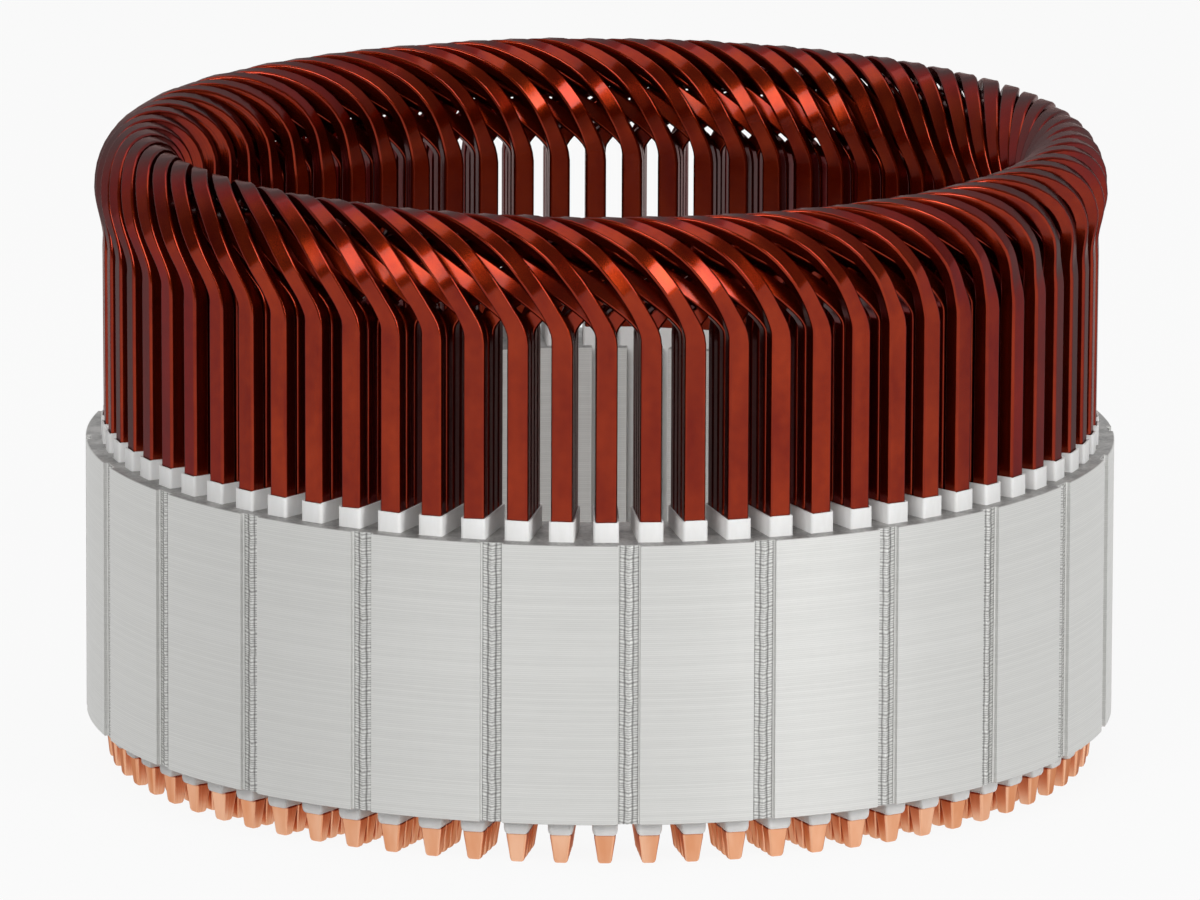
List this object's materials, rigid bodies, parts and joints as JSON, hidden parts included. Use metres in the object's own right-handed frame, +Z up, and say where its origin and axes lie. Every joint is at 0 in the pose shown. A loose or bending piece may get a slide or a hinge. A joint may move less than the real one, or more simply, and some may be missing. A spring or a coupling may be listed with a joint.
{
  "type": "stator lamination stack with hairpin winding",
  "caption": "Slotted ring of welded steel laminations with paper slot liners and enamelled copper hairpins, their crowns above and bare tips below.",
  "frame": {"origin": "centre of the bore at the lower end face of the lamination stack", "axes": "+Z up along the bore axis, towards the hairpin crowns"},
  "size_m": [0.18, 0.18, 0.1116],
  "materials": {
    "lamination_steel": "satin, fine horizontal sheet lines",
    "insulation_paper": "matt insulating paper",
    "enamelled_copper": "glossy red-brown enamel, stripped to bare copper at the tips"
  },
  "bodies": {
    "root": {"lamination_stack": "lamination_steel", "slot_liners_pole_01": "insulation_paper", "slot_liners_pole_02": "insulation_paper", "slot_liners_pole_03": "insulation_paper", "slot_liners_pole_04": "insulation_paper", "slot_liners_pole_05": "insulation_paper", "slot_liners_pole_06": "insulation_paper", "slot_liners_pole_07": "insulation_paper", "slot_liners_pole_08": "insulation_paper", "slot_liners_pole_09": "insulation_paper", "slot_liners_pole_10": "insulation_paper", "slot_liners_pole_11": "insulation_paper", "slot_liners_pole_12": "insulation_paper", "large_hairpins_pole_01": "enamelled_copper", "large_hairpins_pole_02": "enamelled_copper", "large_hairpins_pole_03": "enamelled_copper", "large_hairpins_pole_04": "enamelled_copper", "large_hairpins_pole_05": "enamelled_copper", "large_hairpins_pole_06": "enamelled_copper", "large_hairpins_pole_07": "enamelled_copper", "large_hairpins_pole_08": "enamelled_copper", "large_hairpins_pole_09": "enamelled_copper", "large_hairpins_pole_10": "enamelled_copper", "large_hairpins_pole_11": "enamelled_copper", "large_hairpins_pole_12": "enamelled_copper", "small_hairpins_pole_01": "enamelled_copper", "small_hairpins_pole_02": "enamelled_copper", "small_hairpins_pole_03": "enamelled_copper", "small_hairpins_pole_04": "enamelled_copper", "small_hairpins_pole_05": "enamelled_copper", "small_hairpins_pole_06": "enamelled_copper", "small_hairpins_pole_07": "enamelled_copper", "small_hairpins_pole_08": "enamelled_copper", "small_hairpins_pole_09": "enamelled_copper", "small_hairpins_pole_10": "enamelled_copper", "small_hairpins_pole_11": "enamelled_copper", "small_hairpins_pole_12": "enamelled_copper"}
  },
  "joints": []
}
